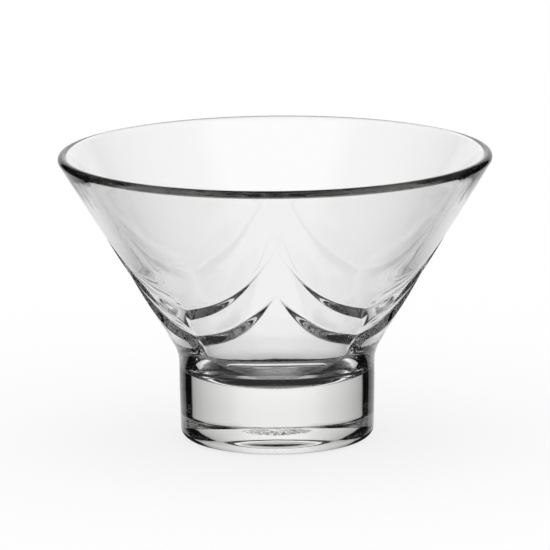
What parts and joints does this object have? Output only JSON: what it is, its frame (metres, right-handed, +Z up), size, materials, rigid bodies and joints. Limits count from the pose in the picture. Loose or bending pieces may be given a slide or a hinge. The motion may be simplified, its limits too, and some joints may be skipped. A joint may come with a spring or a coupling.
{
  "type": "sundae glass",
  "caption": "Clear pressed-glass sundae coupe: a wide conical bowl with draped swags moulded into its outside, on a short solid round foot.",
  "frame": {"origin": "centre of the circle that the foot stands on", "axes": "+Z up along the glass's own axis; -Y through the middle of one swagged panel, which faces the viewer"},
  "size_m": [0.12, 0.12, 0.08],
  "materials": {
    "clear_glass": "clear, fire-polished"
  },
  "bodies": {
    "root": {"bowl": "clear_glass", "foot": "clear_glass"}
  },
  "joints": []
}
